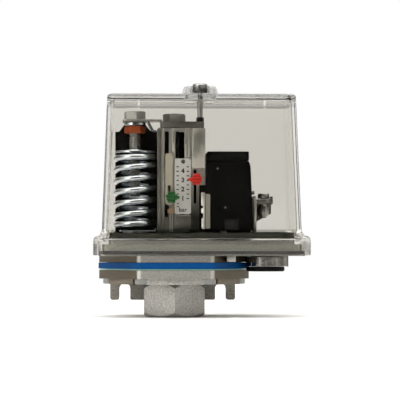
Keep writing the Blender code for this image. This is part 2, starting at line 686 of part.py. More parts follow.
def plunger():
    low = FLANGE_TOP + THIN_GAP + DIAPHRAGM_T + GAP
    disc = [(0, low + 1.9), (18.0, low + 1.9), (18.5, low + 1.4), (18.5, low), (0, low)]
    set_origin(turned("diaphragm_plate", disc, PORT_X, 0, "zinc"), PORT_X, 0, low)
    stem = [(0, 37.6), (3.4, 37.6), (3.9, 37.1), (3.9, low + 2.2), (0, low + 2.2)]
    return set_origin(turned("plunger", stem, PORT_X, 0, "zinc"), PORT_X, 0, low)


# ---------- contact block ----------


def contact_block():
    right = [(3.2, 43.2, 0), (26.4, 43.2, 0.5), (25.0, 76.0, 1.2), (24.2, 78.3, 0.5), (3.2, 78.3, 0)]
    block = plate("contact_block_housing", [rounded(right)], -13.0, 13.0, "black", "Y")
    join(block, box("block_wing", (-0.8, -13.0, 43.2), (4.0, -11.4, 66.2), "black"))
    for x in (5.0, 19.45):
        for y in (-12.0, 9.0):
            join(block, box(f"block_leg_{x:.0f}_{y:.0f}", (x, y, 34.3), (x + 3, y + 3, 44), "black"))
    cut(block, box("block_notch", (11.8, -14.0, 42.0), (19.4, -11.0, 49.7), "black"))
    cut(block, turned("plunger_hole", [(0, 48), (1.9, 48), (1.9, 42), (0, 42)], 12.0, 0, "black", 12))
    for i, y in enumerate(TERMINAL_Y):
        pocket = [circle(y, TERMINAL_Z, 3.3, 16)]
        cut(block, plate(f"terminal_pocket_{i}", pocket, 22.6, 30, "black", "X"))
        hole = [circle(y, TERMINAL_Z, 1.6, 12)]
        cut(block, plate(f"terminal_hole_{i}", hole, 16.0, 30, "black", "X"))
    cap = rectangle(3.2, 24.2, -13.0, 13.0, 0.6, 2)
    plate("contact_block_cap", [cap], 78.6, 83.3, "black")
    spindle = [(0, 46.0), (1.5, 46.0), (1.5, 41.4), (1.1, 41.0), (0, 41.0)]
    set_origin(turned("switch_plunger", spindle, 12.0, 0, "beige", 16), 12.0, 0, 42)


def terminal_screws():
    for i, y in enumerate(TERMINAL_Y):
        head = plate(f"terminal_screw_{i + 1}", [circle(y, TERMINAL_Z, 2.8, 16)], 22.9, 24.8, "zinc", "X")
        join(head, plate(f"terminal_shank_{i}", [circle(y, TERMINAL_Z, 1.25, 12)], 17.0, 23.2, "zinc", "X"))
        cut(head, box(f"terminal_slot_{i}", (24.0, y - 0.4, 62), (26, y + 0.4, 70), "zinc"))


def contact_strip():
    """A bright leaf with two notches in its free edge, in front of the block's wing."""
    points = [(0.2, 44.6), (2.4, 44.1), (4.6, 44.1), (4.6, 61.8), (2.6, 61.8), (1.6, 62.6), (0.0, 62.6)]
    points += [(0.0, 56.0), (1.0, 55.8), (1.0, 54.8), (0.0, 54.4), (0.0, 52.4), (1.0, 51.8)]
    points += [(1.0, 49.6), (0.2, 49.4)]
    return plate("contact_strip", [points], -14.1, -13.3, "chrome", "Y")


# ---------- earth terminal ----------


def earth_terminal():
    """A leg beside the contact block, a tab for the screw with a lip, and a plate behind it."""
    leg = [(4.4, 34.3), (8.0, 34.3), (8.0, 61.0), (-6.4, 61.0), (-6.4, 41.0), (4.4, 41.0)]
    bracket = plate("earth_bracket", [leg], 27.0, 28.3, "dark_steel", "X")
    join(bracket, box("earth_tab", (27.4, -6.2, 56.8), (36.4, 5.0, 58.4), "dark_steel"))
    join(bracket, box("earth_lip", (35.7, -6.0, 57.0), (36.7, 4.8, 60.8), "dark_steel"))
    back = [(27.3, 58.1), (36.6, 58.1), (36.5, 52.2), (28.0, 47.6), (27.3, 47.6)]
    join(bracket, plate("earth_back", [back], 3.9, 5.3, "dark_steel", "Y"))
    hole = [(0, 62), (2.0, 62), (2.0, 54), (0, 54)]
    cut(bracket, turned("earth_hole", hole, EARTH_X, 0, "dark_steel", 16))
    washer = [rectangle(28.7, 35.3, -4.6, 4.0, 0.8, 2), circle(EARTH_X, 0, 2.0, 16)]
    plate("earth_washer", washer, 58.7, 59.5, "zinc")
    head = [(0, 62.4), (2.6, 62.4), (3.0, 62.0), (3.0, 59.8), (1.7, 59.8), (1.7, 50.4)]
    head += [(1.3, 50.0), (0, 50.0)]
    screw = turned("earth_screw", head, EARTH_X, 0, "zinc", 20)
    cut(screw, box("earth_slot", (28, -0.45, 61.3), (37, 0.45, 64), "zinc"))
    set_origin(screw, EARTH_X, 0, 59.8)


# ---------- cable gland ----------


def cable_gland():
    body = [(7.3, 39.4), (7.7, 39.0), (7.7, 30.4), (9.6, 30.4), (9.9, 30.1), (9.9, 25.4), (7.3, 25.4)]
    body += [(7.3, 29.6), (5.4, 31.2), (5.4, 39.4)]
    turned("gland_body", body, GLAND_X, GLAND_Y, "dark_steel", 32)
    seal = [(7.0, 29.2), (7.0, 25.5), (4.4, 25.5), (4.4, 29.2)]
    turned("gland_seal", seal, GLAND_X, GLAND_Y, "rubber")
    nut = [(4.6, 25.2), (9.4, 25.2), (9.7, 24.9), (9.7, 23.4), (9.2, 22.9), (4.6, 22.9)]
    cap = turned("gland_nut", nut, GLAND_X, GLAND_Y, "black", 32)
    set_origin(cap, GLAND_X, GLAND_Y, 24)
    outlines = [hexagon(GLAND_X, GLAND_Y, 20.0), circle(GLAND_X, GLAND_Y, 8.1)]
    plate("gland_locknut", outlines, 34.3, 37.2, "zinc")


# ---------- assembly ----------

pressure_port()
diaphragm()
spacer_ring()
flange_bolts()
base_casting()
cover_gasket()
cover()
cover_screw()
spring_frame()
frame_screws()
frame_top_plate()
top_strap()
back_shield()
scale_plate()
slider_rail()
pointer("red_pointer", -7.2, -1.9, 69.1, -1, "red", -2.9)
pointer("green_pointer", -10.4, -15.4, 60.1, 1, "green", -16.0)
main_spring_group()
main_spring_tray()
differential_group()
rocker_lever()
plunger()
contact_block()
terminal_screws()
contact_strip()
earth_terminal()
cable_gland()
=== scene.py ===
"""Looks for the pressure switch: camera, studio, materials and the finely shaped pieces."""

import json
import math

import bmesh
import bpy
from mathutils import Matrix, Vector


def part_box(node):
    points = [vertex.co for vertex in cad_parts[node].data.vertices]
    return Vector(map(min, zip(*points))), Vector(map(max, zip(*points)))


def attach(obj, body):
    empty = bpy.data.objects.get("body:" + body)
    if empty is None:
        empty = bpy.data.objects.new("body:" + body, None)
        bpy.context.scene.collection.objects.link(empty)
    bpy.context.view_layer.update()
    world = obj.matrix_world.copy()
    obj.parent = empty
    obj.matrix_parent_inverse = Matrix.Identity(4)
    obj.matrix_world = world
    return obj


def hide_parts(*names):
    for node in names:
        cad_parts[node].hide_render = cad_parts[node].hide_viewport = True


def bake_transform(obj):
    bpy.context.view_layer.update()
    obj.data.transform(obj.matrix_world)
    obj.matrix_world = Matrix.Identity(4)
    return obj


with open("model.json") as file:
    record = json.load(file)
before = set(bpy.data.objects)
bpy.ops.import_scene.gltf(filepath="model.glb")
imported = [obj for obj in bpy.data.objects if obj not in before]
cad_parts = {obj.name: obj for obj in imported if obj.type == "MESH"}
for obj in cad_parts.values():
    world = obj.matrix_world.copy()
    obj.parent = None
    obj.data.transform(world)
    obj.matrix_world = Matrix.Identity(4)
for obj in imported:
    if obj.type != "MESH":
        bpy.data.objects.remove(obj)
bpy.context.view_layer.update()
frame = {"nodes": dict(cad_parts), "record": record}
MM = 0.001
RANGE_X = -33.2  # axis of the main adjusting screw, in mm
PORT_X = -13.2  # axis of the port and the differential screw, in mm

# ---------- camera, floor and light ----------

CAMERA_DISTANCE = 1.023
CAMERA_HEIGHT = 0.0336
CAMERA_YAW = math.radians(2.2)
CAMERA_PITCH = math.radians(1.43)
CAMERA_LENS = 180.7
WORLD_STRENGTH = 1.0
FLOOR_RADIUS = 0.95
FLOOR_HEIGHT = -0.0002
KEY_LIGHT = {"place": (-0.75, -0.85, 0.3), "target": (0, 0, 0.04), "size": (0.5, 0.5), "power": 3.0}
TOP_LIGHT = {"place": (0.0, 0.0, 2.2), "target": (0, 0, 0), "size": (4.0, 4.0), "power": 62.0}


def make_camera():
    data = bpy.data.cameras.new("camera")
    data.lens = CAMERA_LENS
    data.sensor_width = 36.0
    data.clip_end = 20.0
    camera = bpy.data.objects.new("camera", data)
    bpy.context.scene.collection.objects.link(camera)
    back = Vector((-math.sin(CAMERA_YAW), -math.cos(CAMERA_YAW), 0)) * CAMERA_DISTANCE
    camera.location = back + Vector((0, 0, CAMERA_HEIGHT))
    camera.rotation_euler = (math.pi / 2 + CAMERA_PITCH, 0, -CAMERA_YAW)
    bpy.context.scene.camera = camera
    bpy.context.scene.view_settings.view_transform = "Standard"


def make_world():
    """A light tent: bright overhead and behind, dimmer towards the front, plain white to look at."""
    world = bpy.data.worlds.new("studio")
    bpy.context.scene.world = world
    world.use_nodes = True
    tree = world.node_tree
    tree.nodes.clear()
    out = tree.nodes.new("ShaderNodeOutputWorld")
    direction = coordinates(tree, "Generated")
    front = [
        (0.0, 0.03), (0.03, 0.04), (0.1, 0.3), (0.19, 0.7), (0.23, 1.6), (0.29, 1.6), (0.35, 0.5),
        (0.5, 0.5), (0.6, 0.16), (0.8, 0.18), (0.93, 0.9), (1.0, 0.95),
    ]
    side = [(0.0, 1.1), (0.5, 1.0), (1.0, 0.8)]
    up = [(0.0, 0.3), (0.42, 0.55), (0.5, 1.0), (0.7, 1.1), (0.85, 2.2), (1.0, 3.0)]
    warm = add_ramp(tree, direction["Y"], front, (1.0, 0.88, 0.72))
    level = add_mix(tree, "MULTIPLY", warm, add_ramp(tree, direction["Z"], up))
    level = add_mix(tree, "MULTIPLY", level, add_ramp(tree, direction["X"], side))
    lit = tree.nodes.new("ShaderNodeBackground")
    tree.links.new(level, lit.inputs["Color"])
    lit.inputs["Strength"].default_value = WORLD_STRENGTH
    plain = tree.nodes.new("ShaderNodeBackground")
    plain.inputs["Color"].default_value = (1.0, 1.0, 1.0, 1.0)
    path = tree.nodes.new("ShaderNodeLightPath")
    mix = tree.nodes.new("ShaderNodeMixShader")
    tree.links.new(path.outputs["Is Camera Ray"], mix.inputs[0])
    tree.links.new(lit.outputs[0], mix.inputs[1])
    tree.links.new(plain.outputs[0], mix.inputs[2])
    tree.links.new(mix.outputs[0], out.inputs["Surface"])


def add_ramp(tree, source, stops, tone=(1.0, 1.0, 1.0)):
    """Levels along a value from -1 to 1, greyer where bright and tinted where dim."""
    span = tree.nodes.new("ShaderNodeMapRange")
    span.inputs["From Min"].default_value = -1.0
    tree.links.new(source, span.inputs["Value"])
    ramp = tree.nodes.new("ShaderNodeValToRGB")
    elements = ramp.color_ramp.elements
    while len(elements) < len(stops):
        elements.new(0.5)
    for element, (position, level) in zip(elements, stops):
        element.position = position
        dim = max(0.0, 1.0 - level)
        element.color = (*[level * (1 + (part - 1) * dim) for part in tone], 1)
    tree.links.new(span.outputs[0], ramp.inputs[0])
    return ramp.outputs[0]


def add_mix(tree, operation, first, second):
    node = tree.nodes.new("ShaderNodeMixRGB")
    node.blend_type = operation
    node.inputs[0].default_value = 1.0
    tree.links.new(first, node.inputs[1])
    tree.links.new(second, node.inputs[2])
    return node.outputs[0]


def add_light(name, place, target, size, power):
    data = bpy.data.lights.new(name, "AREA")
    data.shape = "RECTANGLE"
    data.size, data.size_y = size
    data.energy = power
    light = bpy.data.objects.new(name, data)
    bpy.context.scene.collection.objects.link(light)
    light.location = place
    light.rotation_euler = (Vector(target) - Vector(place)).to_track_quat("-Z", "Y").to_euler()


def make_floor():
    bpy.ops.mesh.primitive_circle_add(
        vertices=96, radius=FLOOR_RADIUS, fill_type="NGON", location=(0, 0, FLOOR_HEIGHT)
    )
    floor = bpy.context.object
    floor.name = "floor"
    paint = new_material("floor_paint", (0.93, 0.93, 0.92), 0.9, 0.0, grain=(40.0, 0.02))
    floor.data.materials.append(paint)


# ---------- materials ----------

BUMP_DISTANCE = 0.0002
LEAST_ROUGHNESS = 0.02

# where painted shade and painted light change, in metres, as (none, full) where they run between two places
PORT_TOP = 0.0182
FLANGE_TOP = 0.0272
LEDGE = 0.0312
TRAY_RIM = 0.0386
LUG_FACE = 0.0275
HALF_EDGE = 0.0003
STACK_FRONT = (-0.0285, -0.0295)
FRAME_FOOT = (0.066, 0.050)
FRAME_RIGHT = (-0.0065, -0.0055)
# sideways part of a face's direction, as (none, full)
SIDEWAYS = (0.62, 0.82)
SLANTED = ((0.06, 0.2), (0.78, 0.66))


def new_material(name, colour, roughness, metallic, grain=(400.0, 0.1), tint=0.06, tint_scale=60.0, **more):
    """A Principled material with mottled colour, uneven roughness and a fine bump, all from noise."""
    made = bpy.data.materials.new(name)
    made.use_nodes = True
    tree = made.node_tree
    shader = tree.nodes["Principled BSDF"]
    place = tree.nodes.new("ShaderNodeTexCoord")
    patches = add_noise(tree, place, tint_scale, 3.0)
    mix = tree.nodes.new("ShaderNodeMixRGB")
    mix.inputs[1].default_value = (*[c * (1 - tint) for c in colour], 1)
    mix.inputs[2].default_value = (*[min(1.0, c * (1 + tint)) for c in colour], 1)
    tree.links.new(patches, mix.inputs[0])
    tree.links.new(mix.outputs[0], shader.inputs["Base Color"])
    uneven = tree.nodes.new("ShaderNodeMapRange")
    uneven.inputs["To Min"].default_value = max(LEAST_ROUGHNESS, roughness * 0.8)
    uneven.inputs["To Max"].default_value = min(1.0, roughness * 1.2)
    tree.links.new(patches, uneven.inputs["Value"])
    tree.links.new(uneven.outputs[0], shader.inputs["Roughness"])
    shader.inputs["Metallic"].default_value = metallic
    bump = tree.nodes.new("ShaderNodeBump")
    bump.inputs["Strength"].default_value = grain[1]
    bump.inputs["Distance"].default_value = BUMP_DISTANCE
    tree.links.new(add_noise(tree, place, grain[0], 4.0), bump.inputs["Height"])
    tree.links.new(bump.outputs[0], shader.inputs["Normal"])
    for socket, value in more.items():
        shader.inputs[SHADER_SOCKETS[socket]].default_value = value
    return made


SHADER_SOCKETS = {
    "transmission_weight": "Transmission Weight", "ior": "IOR", "specular_ior_level": "Specular IOR Level",
    "coat_weight": "Coat Weight", "coat_roughness": "Coat Roughness",
}


def add_noise(tree, place, scale, detail):
    noise = tree.nodes.new("ShaderNodeTexNoise")
    noise.inputs["Scale"].default_value = scale
    noise.inputs["Detail"].default_value = detail
    tree.links.new(place.outputs["Object"], noise.inputs["Vector"])
    return noise.outputs["Fac"]


def brushed(made, axis_scale):
    """Stretches a material's bump noise into fine lines."""
    tree = made.node_tree
    bump = next(node for node in tree.nodes if node.type == "BUMP")
    noise = bump.inputs["Height"].links[0].from_node
    stretch = tree.nodes.new("ShaderNodeMapping")
    stretch.inputs["Scale"].default_value = axis_scale
    source = noise.inputs["Vector"].links[0].from_socket
    tree.links.new(source, stretch.inputs["Vector"])
    tree.links.new(stretch.outputs[0], noise.inputs["Vector"])
    return made


def coordinates(tree, output):
    """The X, Y and Z of a texture coordinate."""
    place = tree.nodes.new("ShaderNodeTexCoord")
    split = tree.nodes.new("ShaderNodeSeparateXYZ")
    tree.links.new(place.outputs[output], split.inputs[0])
    return split.outputs


def calculate(tree, operation, *sources):
    """One Math node."""
    node = tree.nodes.new("ShaderNodeMath")
    node.operation = operation
    for i, source in enumerate(sources):
        tree.links.new(source, node.inputs[i])
    return node.outputs[0]


def recolour(made, mask, tone, blend):
    """Blends a tone into a material's colour where the mask is 1."""
    tree = made.node_tree
    shader = tree.nodes["Principled BSDF"]
    colour = shader.inputs["Base Color"].links[0].from_socket
    mix = tree.nodes.new("ShaderNodeMixRGB")
    mix.blend_type = blend
    tree.links.new(mask, mix.inputs[0])
    tree.links.new(colour, mix.inputs[1])
    mix.inputs[2].default_value = (*tone, 1)
    tree.links.new(mix.outputs[0], shader.inputs["Base Color"])


def add_span(tree, source, low, high):
    """Runs from 0 at low to 1 at high, and stays there beyond either."""
    span = tree.nodes.new("ShaderNodeMapRange")
    span.inputs["From Min"].default_value = low
    span.inputs["From Max"].default_value = high
    tree.links.new(source, span.inputs["Value"])
    return span.outputs[0]


def paint_side_reflection(made):
    """The faces that point sideways are painted browner and darker, a painted reflection of a brown
    surround.
    """
    tree = made.node_tree
    size = calculate(tree, "ABSOLUTE", coordinates(tree, "Normal")["X"])
    recolour(made, add_span(tree, size, *SIDEWAYS), (0.42, 0.36, 0.27), "MULTIPLY")


def paint_corner_highlights(made):
    """The front corners of the clamped stack are painted bright, a painted highlight where their rounding
    catches a bright part of the surround.
    """
    tree = made.node_tree
    size = calculate(tree, "ABSOLUTE", coordinates(tree, "Normal")["X"])
    mask = add_span(tree, coordinates(tree, "Object")["Y"], *STACK_FRONT)
    for low, high in SLANTED:
        mask = calculate(tree, "MULTIPLY", mask, add_span(tree, size, low, high))
    recolour(made, mask, (0.5, 0.49, 0.46), "MIX")


def paint_frame_foot_shade(made):
    """The lower part of the steel frame is painted darker, most of all on its right: painted shade low in
    the housing.
    """
    tree = made.node_tree
    place = coordinates(tree, "Object")
    low = add_span(tree, place["Z"], *FRAME_FOOT)
    recolour(made, low, (0.36, 0.37, 0.35), "MULTIPLY")
    right = add_span(tree, place["X"], *FRAME_RIGHT)
    recolour(made, calculate(tree, "MULTIPLY", low, right), (0.25, 0.25, 0.25), "MULTIPLY")


def paint_light_beyond(made, axis, start, tone):
    """Multiplies the colour by a tone past a place along one axis: painted shade where the tone is dark,
    painted light where it is bright.
    """
    tree = made.node_tree
    mask = add_span(tree, coordinates(tree, "Object")[axis], start - HALF_EDGE, start + HALF_EDGE)
    recolour(made, mask, tone, "MULTIPLY")


# name: colour, roughness, metallic, (bump scale, bump strength), tint, tint scale
FINISHES = {
    "cast_alloy": ((0.33, 0.32, 0.295), 0.44, 0.8, (1400.0, 1.0), 0.8, 1500.0),
    "membrane": ((0.20, 0.42, 0.36), 0.6, 0.0, (900.0, 0.2)),
    "blue_ring": ((0.0005, 0.045, 0.16), 0.5, 0.0, (500.0, 0.12), 0.10, 90.0),
    "zinc_steel": ((0.34, 0.345, 0.33), 0.30, 1.0, (900.0, 0.15), 0.12, 200.0),
    "bright_steel": ((0.60, 0.65, 0.70), 0.17, 1.0, (300.0, 0.04), 0.08, 160.0),
    "nut_steel": ((0.33, 0.335, 0.32), 0.44, 0.9, (900.0, 0.2), 0.14, 200.0),
    "gland_metal": ((0.20, 0.195, 0.18), 0.18, 1.0, (500.0, 0.2), 0.12, 300.0),
    "frame_steel": ((0.47, 0.46, 0.43), 0.36, 0.95, (900.0, 0.25), 0.10, 150.0),
    "dark_steel": ((0.17, 0.165, 0.15), 0.42, 0.9, (900.0, 0.25), 0.14, 150.0),
    "orange_copper": ((0.50, 0.11, 0.035), 0.34, 0.6, (700.0, 0.2), 0.18, 200.0),
    "rubber": ((0.02, 0.02, 0.02), 0.75, 0.0, (1200.0, 0.3)),
    "black_plastic": ((0.003, 0.003, 0.003), 0.6, 0.0, (1400.0, 0.2), 0.2, 80.0),
    "scale_white": ((0.64, 0.65, 0.64), 0.4, 0.0, (800.0, 0.05), 0.03),
    "scale_ink": ((0.012, 0.012, 0.012), 0.5, 0.0, (800.0, 0.05), 0.1),
    "beige_plastic": ((0.46, 0.42, 0.35), 0.45, 0.0, (900.0, 0.1), 0.08, 200.0),
    "red_plastic": ((0.66, 0.022, 0.012), 0.32, 0.0, (900.0, 0.1), 0.08, 200.0),
    "green_plastic": ((0.008, 0.12, 0.018), 0.38, 0.0, (900.0, 0.1), 0.08, 200.0),
    "pale_copper": ((0.44, 0.28, 0.17), 0.4, 0.3, (700.0, 0.2), 0.14, 200.0),
    "contact_tin": ((0.62, 0.61, 0.58), 0.33, 0.85, (900.0, 0.12), 0.06, 300.0),
    "contact_grey": ((0.42, 0.41, 0.37), 0.42, 0.7, (900.0, 0.2), 0.1, 300.0),
    # clear moulded plastic, faintly grey, with barely uneven surfaces
    "clear_plastic": ((0.815, 0.805, 0.77), 0.03, 0.0, (25.0, 0.012), 0.015, 30.0),
    # the matt, hazy screw boss
    "frosted_plastic": ((0.78, 0.78, 0.77), 0.14, 0.0, (900.0, 0.2), 0.015, 60.0),
    # the thicker skirt, which scatters a little of what shows through it
    "satin_plastic": ((0.87, 0.875, 0.84), 0.2, 0.0, (700.0, 0.1), 0.02, 40.0),
    # the roof's rounded rim, tinted darker as painted shade for being seen through a long way of plastic
    "edge_plastic": ((0.42, 0.42, 0.41), 0.05, 0.0, (200.0, 0.03), 0.02, 60.0),
    # the rolled shoulder between the corners, painted darker and made less reflective: painted shade where
    # the shoulder shows dark
    "shoulder_plastic": ((0.62, 0.62, 0.58), 0.08, 0.0, (300.0, 0.2), 0.05, 200.0),
    # the end walls, tinted warmer: a painted warm reflection
    "end_plastic": ((0.80, 0.78, 0.745), 0.03, 0.0, (25.0, 0.012), 0.015, 30.0),
}
CLEAR = {"transmission_weight": 1.0, "ior": 1.18, "coat_weight": 0.35, "coat_roughness": 0.03}
EXTRAS = {
    "blue_ring": {"specular_ior_level": 0.08},
    "black_plastic": {"specular_ior_level": 0.08},
    "clear_plastic": CLEAR,
    "frosted_plastic": {"transmission_weight": 1.0, "ior": 1.18},
    "satin_plastic": {"transmission_weight": 1.0, "ior": 1.2, "coat_weight": 0.4, "coat_roughness": 0.05},
    "edge_plastic": CLEAR,
    "shoulder_plastic": {"transmission_weight": 1.0, "ior": 1.06, "specular_ior_level": 0.1},
    "end_plastic": CLEAR,
}


def make_materials():
    made = {name: new_material(name, *values, **EXTRAS.get(name, {})) for name, values in FINISHES.items()}
    paint_side_reflection(made["cast_alloy"])
    paint_corner_highlights(made["cast_alloy"])
    # copies of the casting finish that carry painted shade by place
    for name in ("cast_tray", "cast_port"):
        made[name] = made["cast_alloy"].copy()
        made[name].name = name
    # base casting: painted shade below the hood's skirt, lifted again above the ledge, and painted shadow
    # inside the hood above the tray rim
    paint_light_beyond(made["cast_tray"], "Z", FLANGE_TOP, (0.58, 0.58, 0.57))
    paint_light_beyond(made["cast_tray"], "Z", LEDGE, (1.6, 1.6, 1.6))
    paint_light_beyond(made["cast_tray"], "Z", TRAY_RIM, (0.22, 0.23, 0.22))
    # port casting: painted shade on the lug faces at the back and on all above the port
    paint_light_beyond(made["cast_port"], "Y", LUG_FACE, (0.78, 0.77, 0.74))
    paint_light_beyond(made["cast_port"], "Z", PORT_TOP, (0.8, 0.8, 0.79))
    brushed(made["frame_steel"], (1.0, 1.0, 0.04))
    paint_frame_foot_shade(made["frame_steel"])
    brushed(made["dark_steel"], (0.05, 1.0, 1.0))
    return made


# ---------- mesh helpers, in millimetres ----------


def finish_mesh(name, bm, sharp=35):
    bmesh.ops.remove_doubles(bm, verts=bm.verts, dist=1e-7)
    bmesh.ops.recalc_face_normals(bm, faces=bm.faces)
    mesh = bpy.data.meshes.new(name)
    bm.to_mesh(mesh)
    bm.free()
    mesh.shade_smooth()
    mesh.set_sharp_from_angle(angle=math.radians(sharp))
    obj = bpy.data.objects.new(name, mesh)
    bpy.context.scene.collection.objects.link(obj)
    return obj


def place_piece(obj, slot, body, *nodes):
    """Gives a piece its material and slot, hangs it on its body and lets it stand for its nodes."""
    obj.data.materials.clear()
    obj.data.materials.append(MATERIALS[slot])
    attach(obj, body)
    if nodes:
        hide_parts(*nodes)
    return obj


def turned(name, profile, x, y, steps=64, sharp=35):
    """A solid of revolution about a vertical axis, from (radius, height) points."""
    bm = bmesh.new()
    points = [bm.verts.new(((radius) * MM, 0, z * MM)) for radius, z in profile]
    edges = [bm.edges.new(pair) for pair in zip(points, points[1:])]
    if profile[0][0] > 0:
        edges.append(bm.edges.new((points[-1], points[0])))
    bmesh.ops.spin(
        bm, geom=points + edges, axis=(0, 0, 1), cent=(0, 0, 0), angle=math.tau, steps=steps, use_merge=True
    )
    bmesh.ops.remove_doubles(bm, verts=bm.verts, dist=1e-7)
    bmesh.ops.translate(bm, verts=bm.verts, vec=(x * MM, y * MM, 0))
    return finish_mesh(name, bm, sharp)


def thread_mesh(name, x, y, outer, core, pitch, low, high, steps=32):
    """A rod with a helical thread: each ring of points follows the crest as it climbs."""
    bm = bmesh.new()
    rows = []
    count = int((high - low) / pitch * 8)
    for row in range(count + 1):
        z = low + (high - low) * row / count
        ring = []
        for step in range(steps):
            angle = math.tau * step / steps
            wave = abs(((z / pitch - angle / math.tau) % 1.0) * 2 - 1)
            ease = min(1.0, (z - low) / 1.0, (high - z) / 0.6 + 0.3)
            radius = core + (outer - core) * min(1.0, wave * 1.25) * max(0.0, ease)
            point = (x + radius * math.cos(angle), y + radius * math.sin(angle), z)
            ring.append(bm.verts.new(Vector(point) * MM))
        rows.append(ring)
    for lower, upper in zip(rows, rows[1:]):
        for i in range(steps):
            bm.faces.new((lower[i - 1], lower[i], upper[i], upper[i - 1]))
    bm.faces.new(rows[0])
    bm.faces.new(rows[-1])
    return finish_mesh(name, bm, 60)


def coil_mesh(name, x, y, mean, wire, low, high, turns, per_turn=40, sides=14):
    """A right-handed spring of round wire, with ends that flatten."""
    ease = 0.75
    pitch = (high - low) / (turns - ease)
    bm = bmesh.new()
    count = round(turns * per_turn)
    rings = []
    for i in range(count + 1):
        turn = turns * i / count
        left = turns - turn
        z = low + pitch * (turn - ease / 2)
        if turn < ease:
            z = low + pitch * turn * turn / (2 * ease)
        elif left < ease:
            z = high - pitch * left * left / (2 * ease)
        angle = -math.tau * left
        outward = Vector((math.cos(angle), math.sin(angle), 0))
        centre = Vector((x, y, z)) + outward * mean
        ring = []
        for side in range(sides):
            around = math.tau * side / sides
            point = centre + (outward * math.cos(around) + Vector((0, 0, 1)) * math.sin(around)) * wire
            ring.append(bm.verts.new(point * MM))
        rings.append(ring)
    for first, second in zip(rings, rings[1:]):
        for i in range(sides):
            bm.faces.new((first[i - 1], first[i], second[i], second[i - 1]))
    bm.faces.new(rings[0])
    bm.faces.new(rings[-1])
    return finish_mesh(name, bm, 60)


def refined(node, slot, body, bevel=0.3, segments=3, name=None, angle=28, limit=None):
    """The CAD node's shape again, kept inside limit, with its flat faces merged and its edges rounded."""
    bm = bmesh.new()
    bm.from_mesh(frame["nodes"][node].data)
    bmesh.ops.remove_doubles(bm, verts=bm.verts, dist=2e-6)
    bmesh.ops.dissolve_limit(bm, angle_limit=math.radians(1.0), verts=bm.verts, edges=bm.edges)
    obj = finish_mesh(name or node + "_fine", bm)
    if limit:
        boolean(obj, limit, "INTERSECT")
    if bevel:
        edge = obj.modifiers.new("edges", "BEVEL")
        edge.width = bevel * MM
        edge.segments = segments
        edge.limit_method = "ANGLE"
        edge.angle_limit = math.radians(angle)
        edge.use_clamp_overlap = True
        edge.harden_normals = True
    return place_piece(obj, slot, body, node)


# ---------- pieces ----------


def applied(obj):
    """The object with its modifiers worked into its mesh."""
    bpy.context.view_layer.update()
    graph = bpy.context.evaluated_depsgraph_get()
    mesh = bpy.data.meshes.new_from_object(obj.evaluated_get(graph))
    obj.modifiers.clear()
    obj.data = mesh
    return obj


def boolean(obj, other, operation):
    """Joins another solid to this one or cuts it away, and removes the other."""
    step = obj.modifiers.new(operation, "BOOLEAN")
    step.operation = operation
    step.solver = "EXACT"
    step.object = other
    applied(obj)
    bpy.data.objects.remove(other)
    return obj


def shaded(obj, sharp=35):
    obj.data.shade_smooth()
    obj.data.set_sharp_from_angle(angle=math.radians(sharp))
    return obj


def bevelled(obj, width, segments=3, angle=28):
    edge = obj.modifiers.new("edges", "BEVEL")
    edge.width = width * MM
    edge.segments = segments
    edge.limit_method = "ANGLE"
    edge.angle_limit = math.radians(angle)
    edge.harden_normals = True
    return obj


def rounded_rectangle(half_x, half_y, radius, steps):
    points = []
    corners = [(half_x, half_y, 0), (-half_x, half_y, 1), (-half_x, -half_y, 2), (half_x, -half_y, 3)]
    for x, y, quarter in corners:
        centre_x = x - math.copysign(radius, x)
        centre_y = y - math.copysign(radius, y)
        for step in range(steps + 1):
            angle = math.pi / 2 * (quarter + step / steps)
            points.append((centre_x + radius * math.cos(angle), centre_y + radius * math.sin(angle)))
    return points


def lofted(name, sections, steps=10):
    """A closed solid through rounded rectangles (height, half width, half depth, corner radius)."""
    bm = bmesh.new()
    rings = []
    for z, half_x, half_y, radius in sections:
        outline = rounded_rectangle(half_x, half_y, radius, steps)
        rings.append([bm.verts.new((px * MM, py * MM, z * MM)) for px, py in outline])
    for lower, upper in zip(rings, rings[1:]):
        for i in range(len(lower)):
            bm.faces.new((lower[i - 1], lower[i], upper[i], upper[i - 1]))
    bm.faces.new(rings[0])
    bm.faces.new(rings[-1])
    return finish_mesh(name, bm)


def slab(name, outline, low, high, facing="Z"):
    """A flat outline made thick between two levels along the axis that it faces."""
    bm = bmesh.new()
    rings = []
    for level in (low, high):
        ring = []
        for u, v in outline:
            point = {"Z": (u, v, level), "Y": (u, level, v), "X": (level, u, v)}[facing]
            ring.append(bm.verts.new(Vector(point) * MM))
        rings.append(ring)
    for i in range(len(outline)):
        bm.faces.new((rings[0][i - 1], rings[0][i], rings[1][i], rings[1][i - 1]))
    bm.faces.new(rings[0])
    bm.faces.new(rings[1])
    return finish_mesh(name, bm)


def brick(name, low, high):
    outline = [(low[0], low[1]), (high[0], low[1]), (high[0], high[1]), (low[0], high[1])]
    return slab(name, outline, low[2], high[2])


def joined(name, objs):
    """Several meshes as one object, their shapes kept as separate shells."""
    bm = bmesh.new()
    for obj in objs:
        applied(obj)
        bm.from_mesh(obj.data)
        bpy.data.objects.remove(obj)
    mesh = bpy.data.meshes.new(name)
    bm.to_mesh(mesh)
    bm.free()
    made = bpy.data.objects.new(name, mesh)
    bpy.context.scene.collection.objects.link(made)
    return shaded(made)


